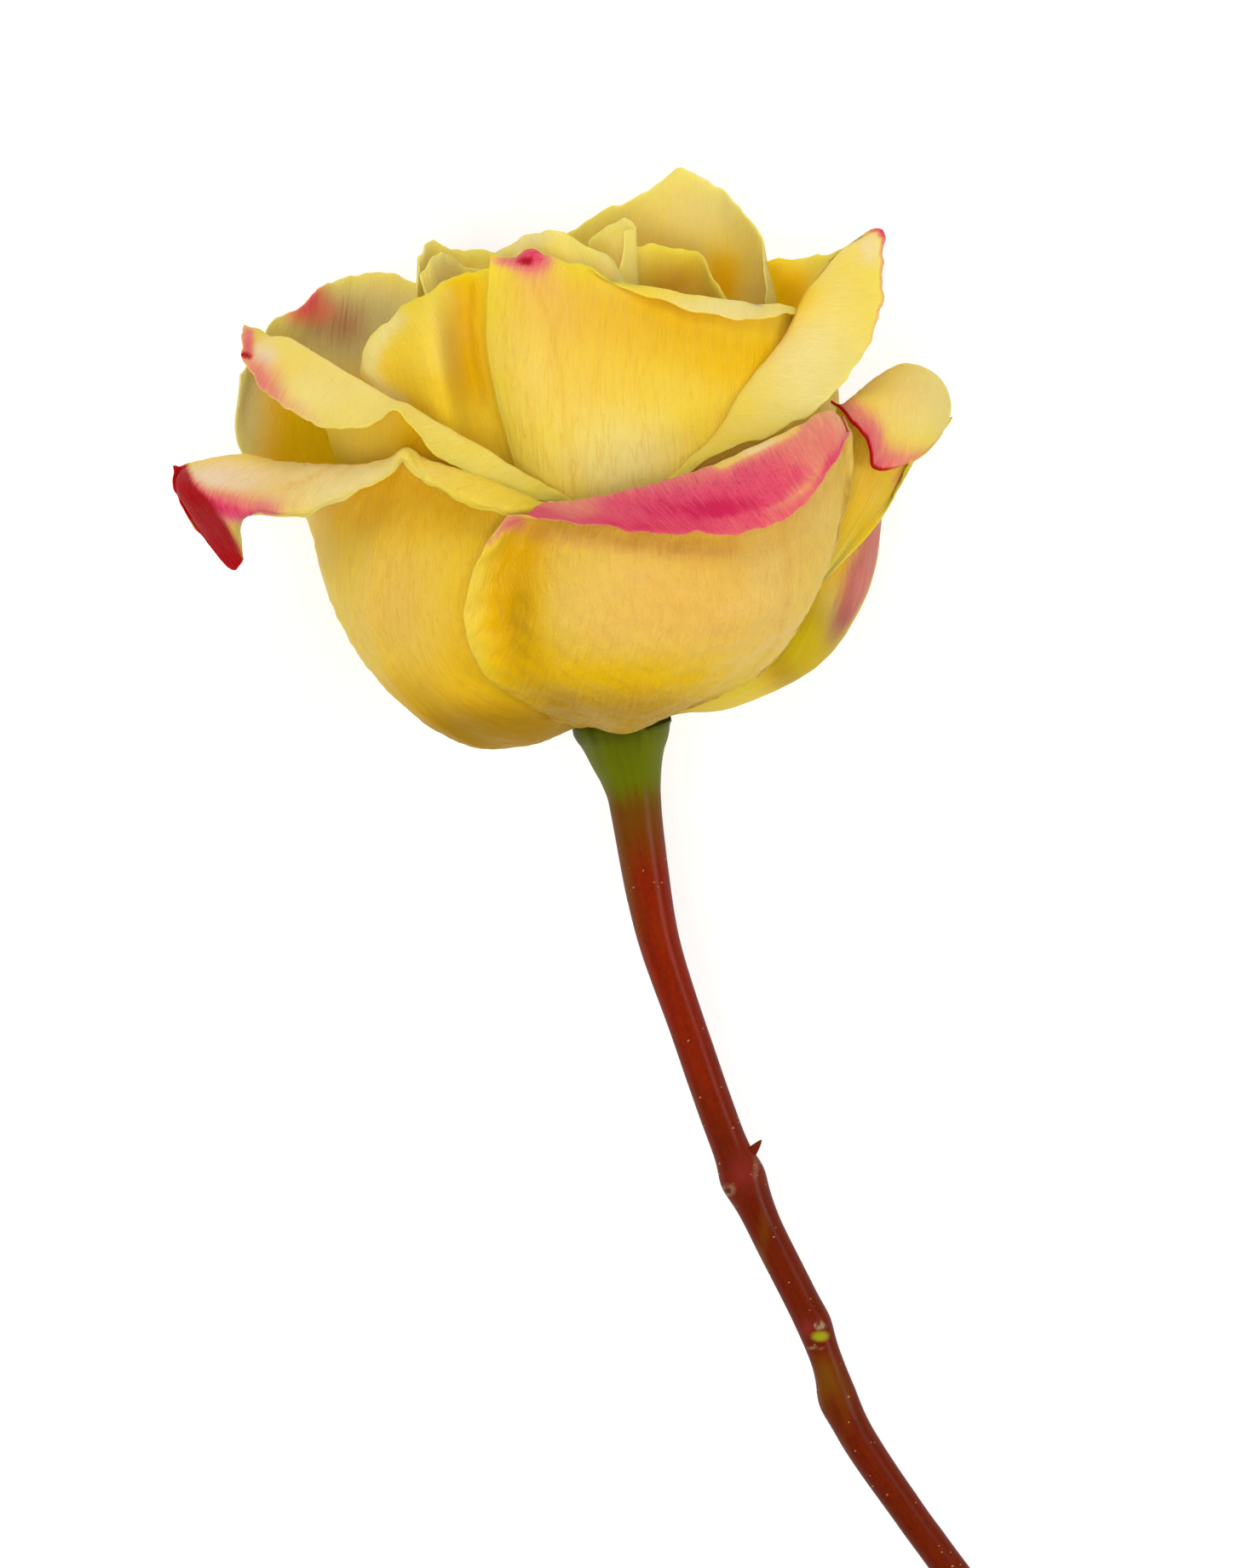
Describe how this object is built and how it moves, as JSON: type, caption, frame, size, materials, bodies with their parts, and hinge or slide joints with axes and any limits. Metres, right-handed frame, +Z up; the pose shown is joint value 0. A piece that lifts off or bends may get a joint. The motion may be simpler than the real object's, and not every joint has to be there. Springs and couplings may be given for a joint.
{
  "type": "cut rose",
  "caption": "Cut rose lying down: an open yellow bloom with pink petal margins on a curved red-brown stem with a slanted cut.",
  "frame": {"origin": "middle of the bounding box's underside, on the surface that the rose lies on", "axes": "+Y from the cut end of the stem towards the bloom, +X to the right as seen from above, +Z up off the surface"},
  "size_m": [0.1233, 0.2436, 0.0688],
  "materials": {
    "petal": "satin, soft living petal with pink margins",
    "stem": "satin, green hip turning red-brown down the stem",
    "stamen": "matt, powdery"
  },
  "bodies": {
    "root": {"hip_and_stem": "stem", "stamens_and_styles": "stamen", "petal_front_cup": "petal", "petal_left_shelf": "petal", "petal_left_upper": "petal", "petal_back_left": "petal", "petal_mid_left": "petal", "petal_front_centre": "petal", "petal_big_right": "petal", "petal_back_tall": "petal", "petal_right_wing": "petal", "petal_right_low": "petal", "petal_top_left_outer": "petal", "petal_top_left_inner": "petal", "petal_heart_front": "petal", "petal_heart_right": "petal", "petal_heart_curl": "petal", "petal_back_outer_left": "petal", "petal_back_outer_right": "petal", "petal_back_middle": "petal", "petal_back_right": "petal", "petal_inner_right": "petal", "petal_heart_back": "petal", "petal_heart_left": "petal", "petal_heart_core_front": "petal", "petal_heart_core_back": "petal"}
  },
  "joints": []
}
